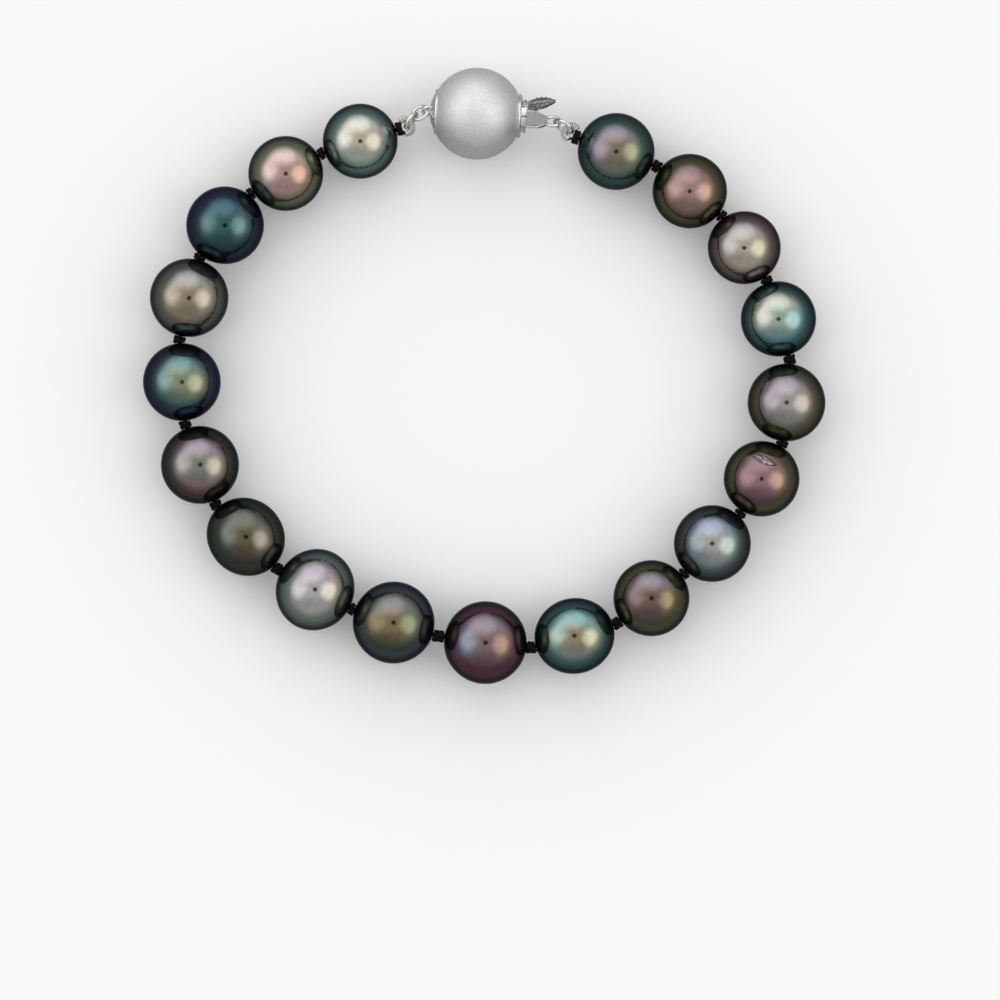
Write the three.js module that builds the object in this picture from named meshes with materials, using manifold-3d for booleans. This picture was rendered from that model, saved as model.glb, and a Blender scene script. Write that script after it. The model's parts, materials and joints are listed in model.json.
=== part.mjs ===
// Bracelet of round dark pearls, knotted on silk and closed with a ball clasp of white metal.
// Millimetres, +Z up. It lies on z = 0 with the clasp towards +Y, centred on its own outline.
import * as THREE from "three";
import { mergeVertices } from "three/addons/utils/BufferGeometryUtils.js";
import Module from "manifold-3d";

const wasm = await Module();
wasm.setup();

// Pearls, from the left of the clasp round the loop to its right. Each row has the sizes on the
// drilled axis and across it as shares of the nominal pearl, and the length of the silk knot
// that follows as a share of the nominal knot.
const PEARL_D = 8.5;
const KNOT_L = 0.8;
const GRADING = [
  [0.965, 0.965, 0.9],
  [0.965, 0.965, 0.65],
  [1, 1, 0.65],
  [1.01, 1.01, 1],
  [1, 1, 1.05],
  [1.005, 1.005, 1],
  [1.045, 0.975, 1.2],
  [1, 1.065, 0.75],
  [1.055, 1.055, 1.6],
  [1.065, 1.065, 1.3],
  [1.035, 0.975, 1.2],
  [0.98, 0.98, 0.75],
  [0.99, 0.99, 0.75],
  [0.975, 0.975, 0.75],
  [1, 1, 1.2],
  [0.97, 0.97, 0.8],
  [0.94, 0.94, 0.75],
  [0.96, 0.96, 1.2],
  [0.99, 0.99, 1.05],
];
const PEARLS = GRADING.map(([along, across, knot]) => ({
  along: along * PEARL_D,
  across: across * PEARL_D,
  knot: knot * KNOT_L,
}));
const FIRST_KNOT = 0.9 * KNOT_L;
const PEARL_BORE_D = 1.0;

// Chosen points of the loop as it lies: the clasp's left eye, two link ends, the knots in order
// round the loop, one link end and the clasp's right eye.
const ROUTE = [
  [-6.5, 28.7],
  [-7.9, 28.1],
  [-8.5, 27.1],
  [-9.4, 26.8],
  [-17.7, 24.2],
  [-25.3, 19.9],
  [-30.8, 13.1],
  [-33.0, 4.4],
  [-32.4, -4.9],
  [-29.2, -13.5],
  [-23.0, -20.1],
  [-14.7, -24.7],
  [-5.3, -27.7],
  [4.8, -29.0],
  [13.8, -26.5],
  [21.0, -21.2],
  [27.1, -14.8],
  [31.8, -7.2],
  [32.7, 1.7],
  [30.3, 10.3],
  [25.4, 17.4],
  [18.4, 22.8],
  [10.1, 25.6],
  [9.1, 26.4],
  [7.8, 27.5],
];
const ROUTE_STEPS = 1500;
const LEAST_ROUTE_SCALE = 0.6;
const MOST_ROUTE_SCALE = 1.6;

// Heights of the link ends, as shares of the climb from the end pearls' middles to the clasp
const OUTER_LEFT_CLIMB = 0.2;
const INNER_LEFT_CLIMB = 0.6;
const RIGHT_CLIMB = 0.3;

// Silk
const SILK_D = 0.5;
const KNOT_D = 1.25;
const KNOT_CLEARANCE = 0.06;

// Links: a ring's roll turns it about the line to the next link, from flat at 0 to upright at 90.
const CLASP_RING = { outerD: 2.25, wireD: 0.36, roll: 45 };
const STRAND_RING_LEFT = { outerD: 2.25, wireD: 0.36, roll: 105 };
const STRAND_RING_RIGHT = { outerD: 2.6, wireD: 0.36, roll: 110 };
const LINK_CLEARANCE = 0.2;
const GIMP_WIRE_D = 0.62;
const GIMP_LOOP_W = 2.1;
const GIMP_ARC_DEG = 200;
const GIMP_REACH = 1.05;
const GIMP_CLEARANCE = 0.1;

// Clasp, with x along its own axis from the left eye to the right one and z towards the press.
const BALL_D = 10.0;
const BALL_WALL = 0.5;
const CLASP_ROLL = 50;
const CAP_D = 4.6;
const CAP_TIP_D = 1.6;
const CAP_STANDS_OUT = 0.1;
const RIM_BEAD = 0.12;
const COLLAR_FACE_D = 3.6;
const COLLAR_STANDS_OUT = 0.4;
const EYE_D = 1.5;
const EYE_WIRE_D = 0.36;
const RING_ROOM = 0.12;

// Tongue: a strip folded inside the ball, its lower leaf ending in an eye.
const STRIP_T = 0.3;
const TONGUE_W = 2.7;
const TONGUE_DROP = 0.45;
const TONGUE_FOLD_X = -3.0;
const TONGUE_PLATE_OUT = 1.9;
const TONGUE_END_W = 2.0;
const TONGUE_EYE_D = 2.0;
const TONGUE_EYE_HOLE_D = 1.25;
const FOLD_GAP = 0.35;
const MOUTH_CLEARANCE = 0.15;

// Thumb press: the strip's upper leaf.
const BLADE_W = 2.0;
const BLADE_RISE = 1.45;
const SHOULDER_CLEARANCE = 0.4;
const STALK_W = 0.8;
const STALK_RISE = 0.15;
const PRESS_L = 3.1;
const PRESS_W = 1.9;
const PRESS_TILT = 14;
const PRESS_TRAVEL_DEG = 6;
const FOLD_CLEARANCE = 0.15;

// Leaf outline of the press, as shares of its length: root curve, widest place and tip curve
const LEAF_ROOT = 0.15;
const LEAF_WIDEST = 0.45;
const LEAF_TIP = 0.8;

// Facets
const PEARL_SIDES = 14;
const PEARL_RINGS = 10;
const BALL_SIDES = 16;
const LINK_SIDES = 16;
const WIRE_SIDES = 6;
const KNOT_SIDES = 10;
const THREAD_SIDES = 8;
const EYE_SIDES = 8;
const HOLE_SIDES = 6;
const LEAF_SIDES = 5;
const FOLD_STEPS = 4;
const GIMP_BEND_STEPS = 8;

const radians = THREE.MathUtils.degToRad;
const MATERIALS = {
  pearl: new THREE.MeshStandardMaterial({ color: 0x5e6a66, roughness: 0.2, metalness: 0.3 }),
  silk: new THREE.MeshStandardMaterial({ color: 0x0b0a0a, roughness: 0.9, metalness: 0 }),
  satin: new THREE.MeshStandardMaterial({ color: 0xc9c9c9, roughness: 0.45, metalness: 1 }),
  polished: new THREE.MeshStandardMaterial({ color: 0xd9d8d6, roughness: 0.12, metalness: 1 }),
};

// Closed solids for joining and cutting
function solidOf(geometry) {
  const bare = geometry.clone();
  bare.deleteAttribute("normal");
  bare.deleteAttribute("uv");
  const merged = mergeVertices(bare, 1e-5);
  return new wasm.Manifold(
    new wasm.Mesh({
      numProp: 3,
      vertProperties: new Float32Array(merged.attributes.position.array),
      triVerts: new Uint32Array(merged.index.array),
    }),
  );
}

function geometryOf(solid) {
  const mesh = solid.getMesh();
  const geometry = new THREE.BufferGeometry();
  geometry.setAttribute("position", new THREE.BufferAttribute(mesh.vertProperties, 3));
  geometry.setIndex(new THREE.BufferAttribute(mesh.triVerts, 1));
  geometry.computeVertexNormals();
  return geometry;
}

function joined(solids) {
  return solids.reduce((whole, piece) => whole.add(piece));
}

function meshOf(name, geometry, material) {
  const mesh = new THREE.Mesh(geometry, material);
  mesh.name = name;
  return mesh;
}

// A frame at a point, its X axis along the direction and its Z axis as near to upright as that
// allows, then rolled about X.
function frameAt(point, direction, rollDeg = 0) {
  const x = direction.clone().normalize();
  const y = new THREE.Vector3(0, 0, 1).cross(x).normalize();
  const z = x.clone().cross(y);
  const frame = new THREE.Matrix4().makeBasis(x, y, z).setPosition(point);
  return frame.multiply(new THREE.Matrix4().makeRotationX(radians(rollDeg)));
}

// A turned shape about the X axis from [x, radius] points that run along +X, with a corner
// straight down.
function turned(profile, sides) {
  const points = profile.map(([x, radius]) => new THREE.Vector2(radius, x));
  const lathe = new THREE.LatheGeometry(points, sides);
  return lathe.rotateZ(-Math.PI / 2).rotateX(Math.PI / 2);
}

// The strand as it lies: every link's ends, in order from the clasp's left eye
const ballR = BALL_D / 2;
const capTipX = ballR + CAP_STANDS_OUT;
const eyeX = capTipX + 2 * RING_ROOM + CLASP_RING.wireD - (EYE_D - 2 * EYE_WIRE_D) / 2;
const collarFaceX = ballR + COLLAR_STANDS_OUT;
const tongueEyeX = collarFaceX + TONGUE_PLATE_OUT + TONGUE_EYE_D / 2;
const tongueEyeWire = (TONGUE_EYE_D - TONGUE_EYE_HOLE_D) / 2;

// Half the distance between the middles of two wires that cross in a link
function halfCrossing(wireA, wireB) {
  return (wireA / 2 + wireB / 2 + LINK_CLEARANCE) / 2;
}

function spanOf(ring, wireBefore, wireAfter) {
  const before = halfCrossing(ring.wireD, wireBefore);
  const after = halfCrossing(ring.wireD, wireAfter);
  return ring.outerD - ring.wireD - before - after;
}

const leftPivotX = eyeX + (EYE_D - EYE_WIRE_D) / 2 - halfCrossing(EYE_WIRE_D, CLASP_RING.wireD);
const rightPivotX =
  tongueEyeX +
  (TONGUE_EYE_D - tongueEyeWire) / 2 -
  halfCrossing(tongueEyeWire, STRAND_RING_RIGHT.wireD);
const tongueSide = -TONGUE_DROP * Math.sin(radians(CLASP_ROLL));
const claspLength = Math.hypot(leftPivotX + rightPivotX, tongueSide);

const leftSpans = [
  spanOf(CLASP_RING, EYE_WIRE_D, STRAND_RING_LEFT.wireD),
  spanOf(STRAND_RING_LEFT, CLASP_RING.wireD, GIMP_WIRE_D),
  GIMP_REACH,
];
const pearlSpans = PEARLS.map((pearl, i) => {
  const knotBefore = i ? PEARLS[i - 1].knot : FIRST_KNOT;
  return knotBefore / 2 + pearl.along + pearl.knot / 2;
});
const rightSpans = [GIMP_REACH, spanOf(STRAND_RING_RIGHT, GIMP_WIRE_D, tongueEyeWire)];
const SPANS = [...leftSpans, ...pearlSpans, ...rightSpans];

// Heights: each pearl rests on the surface, so a knot hangs midway between its neighbours'
// middles, and the links climb from the last pearls to the clasp.
function heightsOf() {
  const middle = PEARLS.map((pearl) => pearl.across / 2);
  const knots = [middle[0]];
  for (let i = 1; i < PEARLS.length; i++) knots.push((middle[i - 1] + middle[i]) / 2);
  knots.push(middle.at(-1));
  const leftRise = ballR - knots[0];
  const rightEyeZ = ballR - TONGUE_DROP * Math.cos(radians(CLASP_ROLL));
  const rightRise = rightEyeZ - knots.at(-1);
  return [
    ballR,
    knots[0] + leftRise * INNER_LEFT_CLIMB,
    knots[0] + leftRise * OUTER_LEFT_CLIMB,
    ...knots,
    knots.at(-1) + rightRise * RIGHT_CLIMB,
    rightEyeZ,
  ];
}

// Steps round a scaled route, one chord for each span, and gives the ends' places.
function stepAlong(curvePoints, spans) {
  const places = [curvePoints[0].clone()];
  let next = 1;
  for (const span of spans) {
    const from = places.at(-1);
    while (next < curvePoints.length && from.distanceTo(curvePoints[next]) < span) next++;
    if (next >= curvePoints.length) return { places, left: -1 };
    const a = curvePoints[next - 1];
    const b = curvePoints[next];
    let low = 0;
    let high = 1;
    for (let i = 0; i < 30; i++) {
      const middle = (low + high) / 2;
      if (from.distanceTo(a.clone().lerp(b, middle)) < span) low = middle;
      else high = middle;
    }
    places.push(a.clone().lerp(b, high));
  }
  return { places, left: places.at(-1).distanceTo(places[0]) };
}

// The loop closes where the clasp just spans the gap that the strand leaves, so the route is
// scaled until it does.
function layOut() {
  const curve = new THREE.CatmullRomCurve3(
    ROUTE.map(([x, y]) => new THREE.Vector3(x, y, 0)),
    true,
    "centripetal",
  );
  const fine = curve.getSpacedPoints(ROUTE_STEPS);
  let low = LEAST_ROUTE_SCALE;
  let high = MOST_ROUTE_SCALE;
  let found;
  for (let i = 0; i < 40; i++) {
    const scale = (low + high) / 2;
    found = stepAlong(fine.map((p) => p.clone().multiplyScalar(scale)), SPANS);
    if (found.left < claspLength) low = scale;
    else high = scale;
  }
  const heights = heightsOf();
  found.places.forEach((place, i) => place.setZ(heights[i]));
  return found.places;
}

const PLACES = layOut();
const firstKnot = leftSpans.length;
const lastKnot = firstKnot + PEARLS.length;

// The clasp's own frame: x from the left eye to the right one, seen from above
function claspFrame() {
  const left = PLACES[0].clone();
  const right = PLACES.at(-1).clone().setZ(left.z);
  const turn = Math.asin(tongueSide / claspLength);
  const axis = right.sub(left).normalize().applyAxisAngle(new THREE.Vector3(0, 0, 1), -turn);
  const middle = left.addScaledVector(axis, leftPivotX).setZ(ballR);
  return frameAt(middle, axis, -CLASP_ROLL);
}

// A drilled pearl, its bore along X
function pearlGeometry(pearl) {
  const edge = Math.asin(PEARL_BORE_D / pearl.across);
  const profile = [];
  for (let i = 0; i <= PEARL_RINGS; i++) {
    const angle = edge + (i / PEARL_RINGS) * (Math.PI - 2 * edge);
    profile.push([(-Math.cos(angle) * pearl.along) / 2, (Math.sin(angle) * pearl.across) / 2]);
  }
  profile.push(profile[0]);
  return turned(profile, PEARL_SIDES);
}

function pearls() {
  return PEARLS.map((pearl, i) => {
    const from = PLACES[firstKnot + i];
    const to = PLACES[firstKnot + i + 1];
    const knotBefore = i ? PEARLS[i - 1].knot : FIRST_KNOT;
    const direction = to.clone().sub(from).normalize();
    const middle = from.clone().addScaledVector(direction, knotBefore / 2 + pearl.along / 2);
    const name = "pearl_" + String(i + 1).padStart(2, "0");
    const mesh = meshOf(name, pearlGeometry(pearl), MATERIALS.pearl);
    mesh.applyMatrix4(frameAt(middle.setZ(pearl.across / 2), direction));
    return mesh;
  });
}

// The silk thread runs straight through each bore, and its knots fill the gaps between pearls.
function knottedSilk() {
  const knots = PLACES.slice(firstKnot, lastKnot + 1);
  const lengths = [FIRST_KNOT, ...PEARLS.map((pearl) => pearl.knot)];
  const pieces = knots.map((place, i) => {
    const before = knots[Math.max(i - 1, 0)];
    const after = knots[Math.min(i + 1, knots.length - 1)];
    const knot = new THREE.SphereGeometry(0.5, KNOT_SIDES, KNOT_SIDES / 2);
    knot.scale(lengths[i] - 2 * KNOT_CLEARANCE, KNOT_D, KNOT_D);
    return solidOf(knot.applyMatrix4(frameAt(place, after.clone().sub(before))));
  });
  knots.slice(1).forEach((to, i) => {
    const along = to.clone().sub(knots[i]);
    const length = along.length();
    const thread = new THREE.CylinderGeometry(SILK_D / 2, SILK_D / 2, length, THREAD_SIDES);
    thread.rotateZ(Math.PI / 2).translate(length / 2, 0, 0);
    pieces.push(solidOf(thread.applyMatrix4(frameAt(knots[i], along))));
  });
  return meshOf("knotted_silk", geometryOf(joined(pieces)), MATERIALS.silk);
}

// A closed round link between two pivots
function ringBetween(name, ring, from, to, startsWide) {
  const along = to.clone().sub(from);
  const centre = from.clone().add(to).multiplyScalar(0.5);
  centre.addScaledVector(along.clone().normalize(), startsWide);
  const torus = new THREE.TorusGeometry(
    (ring.outerD - ring.wireD) / 2,
    ring.wireD / 2,
    WIRE_SIDES,
    LINK_SIDES,
  );
  const mesh = meshOf(name, torus, MATERIALS.polished);
  mesh.applyMatrix4(frameAt(centre, along, ring.roll));
  return mesh;
}

function jumpRings() {
  const gimpCross = halfCrossing(STRAND_RING_LEFT.wireD, GIMP_WIRE_D);
  const ringCross = halfCrossing(STRAND_RING_LEFT.wireD, CLASP_RING.wireD);
  const eyeCross = halfCrossing(CLASP_RING.wireD, EYE_WIRE_D);
  const tongueCross = halfCrossing(STRAND_RING_RIGHT.wireD, tongueEyeWire);
  const last = PLACES.length - 1;
  return [
    ringBetween("clasp_ring", CLASP_RING, PLACES[0], PLACES[1], (ringCross - eyeCross) / 2),
    ringBetween(
      "strand_ring_left",
      STRAND_RING_LEFT,
      PLACES[1],
      PLACES[2],
      (gimpCross - ringCross) / 2,
    ),
    ringBetween(
      "strand_ring_right",
      STRAND_RING_RIGHT,
      PLACES[last - 1],
      PLACES[last],
      (tongueCross - gimpCross) / 2,
    ),
  ];
}

// A gimp loop: a coil bent in an oval arc round the ring, with both feet at the end knot. x runs
// from the knot to the ring.
function gimpLoop(name, knot, knotLength, pivot, ring) {
  const along = pivot.clone().sub(knot);
  const foot = knotLength / 2 + GIMP_CLEARANCE;
  const tip = along.length() + halfCrossing(GIMP_WIRE_D, ring.wireD);
  const halfW = (GIMP_LOOP_W - GIMP_WIRE_D) / 2;
  const halfArc = radians(GIMP_ARC_DEG) / 2;
  const reach = (tip - foot) / (1 - Math.cos(halfArc));
  const bend = [];
  for (let i = 0; i <= GIMP_BEND_STEPS; i++) {
    const angle = halfArc * (1 - (2 * i) / GIMP_BEND_STEPS);
    const x = tip - reach * (1 - Math.cos(angle));
    bend.push(new THREE.Vector3(x, halfW * Math.sin(angle), 0));
  }
  const curve = new THREE.CatmullRomCurve3(bend);
  const section = new THREE.Shape(
    new THREE.EllipseCurve(0, 0, GIMP_WIRE_D / 2, GIMP_WIRE_D / 2).getPoints(WIRE_SIDES),
  );
  const coil = new THREE.ExtrudeGeometry(section, { steps: LINK_SIDES, extrudePath: curve });
  const mesh = meshOf(name, coil, MATERIALS.polished);
  mesh.applyMatrix4(frameAt(knot, along));
  return mesh;
}

function gimpLoops() {
  const [outerLeft, left, right, outerRight] = [
    PLACES[firstKnot - 1],
    PLACES[firstKnot],
    PLACES[lastKnot],
    PLACES[lastKnot + 1],
  ];
  return [
    gimpLoop("gimp_left", left, FIRST_KNOT, outerLeft, STRAND_RING_LEFT),
    gimpLoop("gimp_right", right, PEARLS.at(-1).knot, outerRight, STRAND_RING_RIGHT),
  ];
}

// A box between two corners
function boxSolid(low, high) {
  const size = high.map((value, i) => value - low[i]);
  const box = new THREE.BoxGeometry(...size);
  box.translate(...low.map((value, i) => value + size[i] / 2));
  return solidOf(box);
}

// The ball with its end cap, collar and left eye, hollow, with a mouth in the collar: a slot for
// the plate, a window that the pressed blade's shoulders clear and a notch for the stalk.
const shoulderR = Math.hypot(BLADE_W / 2, BLADE_RISE + STRIP_T / 2) + SHOULDER_CLEARANCE;
const bladeEndX = Math.sqrt((ballR - BALL_WALL) ** 2 - shoulderR ** 2);

function claspBall() {
  const seatX = Math.sqrt(ballR ** 2 - (CAP_D / 2) ** 2);
  const seatAngle = Math.asin(CAP_D / BALL_D);
  const arc = [];
  for (let i = 0; i <= PEARL_RINGS; i++) {
    const angle = seatAngle + (i / PEARL_RINGS) * (Math.PI - 2 * seatAngle);
    arc.push([-ballR * Math.cos(angle), ballR * Math.sin(angle)]);
  }
  const outline = [
    [-capTipX, 0],
    [-capTipX, CAP_TIP_D / 2],
    [(-capTipX - seatX) / 2 - RIM_BEAD, (CAP_TIP_D + CAP_D) / 4],
    [-seatX - RIM_BEAD, CAP_D / 2],
    [-seatX + RIM_BEAD, CAP_D / 2 + RIM_BEAD],
    ...arc.slice(1, -1),
    [seatX - RIM_BEAD, CAP_D / 2 + RIM_BEAD],
    [seatX + RIM_BEAD, CAP_D / 2],
    [collarFaceX - RIM_BEAD, COLLAR_FACE_D / 2 + RIM_BEAD],
    [collarFaceX, COLLAR_FACE_D / 2],
    [collarFaceX, 0],
  ];
  const hollowR = ballR - BALL_WALL;
  const hollow = [];
  for (let i = 0; i <= PEARL_RINGS; i++) {
    const angle = (i / PEARL_RINGS) * Math.PI;
    const radius = i % PEARL_RINGS ? hollowR * Math.sin(angle) : 0;
    hollow.push([-hollowR * Math.cos(angle), radius]);
  }
  const eye = new THREE.TorusGeometry(
    (EYE_D - EYE_WIRE_D) / 2,
    EYE_WIRE_D / 2,
    WIRE_SIDES,
    LINK_SIDES,
  );
  eye.rotateX(Math.PI / 2).translate(-eyeX, 0, 0);
  const roll = radians(CLASP_ROLL);
  const halfSlot = TONGUE_W / 2 + MOUTH_CLEARANCE;
  const halfWindow = BLADE_W / 2 + MOUTH_CLEARANCE;
  const halfNotch = STALK_W / 2 + MOUTH_CLEARANCE;
  const mouthBottom = -TONGUE_DROP - STRIP_T / 2 - MOUTH_CLEARANCE;
  const slotTop = -TONGUE_DROP + STRIP_T / 2 + MOUTH_CLEARANCE;
  const pressedDrop = (bladeEndX - TONGUE_FOLD_X) * Math.sin(radians(PRESS_TRAVEL_DEG));
  const windowTop = BLADE_RISE + STRIP_T / 2 - pressedDrop + MOUTH_CLEARANCE;
  const notchTop = BLADE_RISE + STALK_RISE + STRIP_T / 2 + 2 * MOUTH_CLEARANCE;
  const inside = bladeEndX - STRIP_T;
  const outside = collarFaceX + BALL_WALL;
  const slot = boxSolid([inside, -halfSlot, mouthBottom], [outside, halfSlot, slotTop]);
  const window = boxSolid([inside, -halfWindow, mouthBottom], [outside, halfWindow, windowTop]);
  const notch = boxSolid([inside, -halfNotch, mouthBottom], [outside, halfNotch, notchTop]);
  const whole = solidOf(turned(outline, BALL_SIDES).rotateX(roll))
    .subtract(solidOf(turned(hollow, BALL_SIDES).rotateX(roll)))
    .add(solidOf(eye))
    .subtract(slot)
    .subtract(window)
    .subtract(notch);
  return meshOf("clasp_ball", geometryOf(whole), MATERIALS.satin);
}

// A strip of the given width and thickness along a line of [x, z] points
function stripSolid(line, width) {
  const normalAt = (i) => {
    const [x0, z0] = line[Math.max(i - 1, 0)];
    const [x1, z1] = line[Math.min(i + 1, line.length - 1)];
    const length = Math.hypot(x1 - x0, z1 - z0);
    return [-(z1 - z0) / length, (x1 - x0) / length];
  };
  const edge = (side) =>
    line.map(([x, z], i) => {
      const [nx, nz] = normalAt(i);
      return new THREE.Vector2(x + (nx * side * STRIP_T) / 2, z + (nz * side * STRIP_T) / 2);
    });
  const shape = new THREE.Shape([...edge(1), ...edge(-1).reverse()]);
  const strip = new THREE.ExtrudeGeometry(shape, { depth: width, bevelEnabled: false });
  return solidOf(strip.translate(0, 0, -width / 2).rotateX(Math.PI / 2));
}

// The lower leaf: flat plate, narrowing neck and eye, with the strip's fold at its inner end
function claspTongue() {
  const halfW = TONGUE_W / 2;
  const neckX = collarFaceX + TONGUE_PLATE_OUT;
  const plate = new THREE.Shape([
    new THREE.Vector2(TONGUE_FOLD_X, -halfW),
    new THREE.Vector2(collarFaceX + MOUTH_CLEARANCE, -halfW),
    new THREE.Vector2(neckX, -TONGUE_END_W / 2),
    new THREE.Vector2(tongueEyeX, -TONGUE_EYE_D / 4),
    new THREE.Vector2(tongueEyeX, TONGUE_EYE_D / 4),
    new THREE.Vector2(neckX, TONGUE_END_W / 2),
    new THREE.Vector2(collarFaceX + MOUTH_CLEARANCE, halfW),
    new THREE.Vector2(TONGUE_FOLD_X, halfW),
  ]);
  const eye = new THREE.Shape();
  eye.absarc(tongueEyeX, 0, TONGUE_EYE_D / 2, 0, 2 * Math.PI);
  const hole = new THREE.Shape();
  hole.absarc(tongueEyeX, 0, TONGUE_EYE_HOLE_D / 2, 0, 2 * Math.PI);
  const cut = { depth: STRIP_T, bevelEnabled: false, curveSegments: EYE_SIDES };
  const through = { depth: 3 * STRIP_T, bevelEnabled: false, curveSegments: HOLE_SIDES };
  const low = -TONGUE_DROP - STRIP_T / 2;
  const foldR = (STRIP_T + FOLD_GAP) / 2;
  const fold = [];
  for (let i = 0; i <= FOLD_STEPS; i++) {
    const angle = -Math.PI / 2 - (i / FOLD_STEPS) * Math.PI;
    fold.push([
      TONGUE_FOLD_X + foldR * Math.cos(angle),
      -TONGUE_DROP + foldR + foldR * Math.sin(angle),
    ]);
  }
  const whole = solidOf(new THREE.ExtrudeGeometry(plate, cut).translate(0, 0, low))
    .add(solidOf(new THREE.ExtrudeGeometry(eye, cut).translate(0, 0, low)))
    .subtract(solidOf(new THREE.ExtrudeGeometry(hole, through).translate(0, 0, low - STRIP_T)))
    .add(stripSolid([[TONGUE_FOLD_X + STRIP_T, -TONGUE_DROP], ...fold], TONGUE_W));
  return meshOf("clasp_tongue", geometryOf(whole), MATERIALS.polished);
}

// The upper leaf: a spring blade that rises to its shoulders behind the collar, a stalk through
// the notch, and the leaf-shaped press outside. It bends about the fold, level with its start.
function thumbPress() {
  const bladeStart = [TONGUE_FOLD_X + FOLD_CLEARANCE, -TONGUE_DROP + STRIP_T + FOLD_GAP];
  const bladeEnd = [bladeEndX, BLADE_RISE];
  const stalkEnd = [collarFaceX + MOUTH_CLEARANCE, BLADE_RISE + STALK_RISE];
  const leaf = new THREE.Shape();
  const halfW = PRESS_W / 2;
  leaf.moveTo(0, -STALK_W / 4);
  leaf.quadraticCurveTo(PRESS_L * LEAF_ROOT, -halfW, PRESS_L * LEAF_WIDEST, -halfW);
  leaf.quadraticCurveTo(PRESS_L * LEAF_TIP, -halfW, PRESS_L, 0);
  leaf.quadraticCurveTo(PRESS_L * LEAF_TIP, halfW, PRESS_L * LEAF_WIDEST, halfW);
  leaf.quadraticCurveTo(PRESS_L * LEAF_ROOT, halfW, 0, STALK_W / 4);
  const pad = new THREE.ExtrudeGeometry(leaf, {
    depth: STRIP_T,
    bevelEnabled: false,
    curveSegments: LEAF_SIDES,
  });
  pad.translate(-STRIP_T / 2, 0, -STRIP_T / 2).rotateY(-radians(PRESS_TILT));
  pad.translate(stalkEnd[0], 0, stalkEnd[1]);
  const whole = stripSolid([bladeStart, bladeEnd], BLADE_W)
    .add(stripSolid([bladeStart, bladeEnd, stalkEnd], STALK_W))
    .add(solidOf(pad));
  return meshOf("thumb_press", geometryOf(whole), MATERIALS.polished);
}

const clasp = new THREE.Group();
clasp.applyMatrix4(claspFrame());
clasp.add(claspBall(), claspTongue(), thumbPress());

const bracelet = new THREE.Group();
bracelet.name = "pearl_bracelet";
bracelet.add(...pearls(), knottedSilk(), ...gimpLoops(), ...jumpRings(), clasp);

// The origin is under the middle of the outline.
bracelet.updateMatrixWorld(true);
const outline = new THREE.Box3().setFromObject(bracelet, true);
const outlineMiddle = outline.getCenter(new THREE.Vector3());
bracelet.position.set(-outlineMiddle.x, -outlineMiddle.y, -outline.min.z);

export default bracelet;
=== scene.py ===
import json
import math

import bmesh
import bpy
import numpy as np
from mathutils import Matrix, Vector, noise


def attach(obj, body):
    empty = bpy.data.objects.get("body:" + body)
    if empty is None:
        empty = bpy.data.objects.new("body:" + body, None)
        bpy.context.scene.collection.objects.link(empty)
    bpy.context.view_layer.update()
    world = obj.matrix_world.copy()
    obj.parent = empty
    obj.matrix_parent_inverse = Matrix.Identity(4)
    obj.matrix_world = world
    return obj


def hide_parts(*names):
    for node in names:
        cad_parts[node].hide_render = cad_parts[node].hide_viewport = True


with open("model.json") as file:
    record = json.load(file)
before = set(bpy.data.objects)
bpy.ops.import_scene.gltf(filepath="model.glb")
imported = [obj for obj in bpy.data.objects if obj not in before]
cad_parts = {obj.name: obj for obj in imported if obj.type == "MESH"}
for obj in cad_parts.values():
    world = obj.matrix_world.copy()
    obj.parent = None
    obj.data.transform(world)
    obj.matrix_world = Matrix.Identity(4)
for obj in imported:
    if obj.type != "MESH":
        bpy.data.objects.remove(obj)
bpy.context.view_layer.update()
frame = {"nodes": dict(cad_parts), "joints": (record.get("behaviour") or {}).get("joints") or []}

# Pearls. Nineteen dark pearls, round or nearly so, each drilled through with a 1 mm bore. Nacre
# reflects like soft metal. Five of its tones lie on the pearl: middle, crown, left, right, base.
# The crown, left and right tones sit where the three lamps' highlights fall and hold painted
# highlight tints over the overtone colour; the base tone holds painted shade, darker towards the
# bottom of the picture. The other two, ring and rim, are what any side of it shifts into where it
# is seen at a slant: the ring is the overtone's coloured halo darkened by painted shade, the rim a
# painted dark edge.
MM = 0.001
UP = Vector((0, 0, 1))
PEARL_COUNT = 19
ARC_STEPS = 44
ROUND_STEPS = 72
UNEVENNESS = 0.004
UNEVEN_SCALE = 2.4
UNEVEN_SHIFT = 3.7
ZONES = ("Middle", "Crown", "Left", "Right", "Base")
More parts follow.
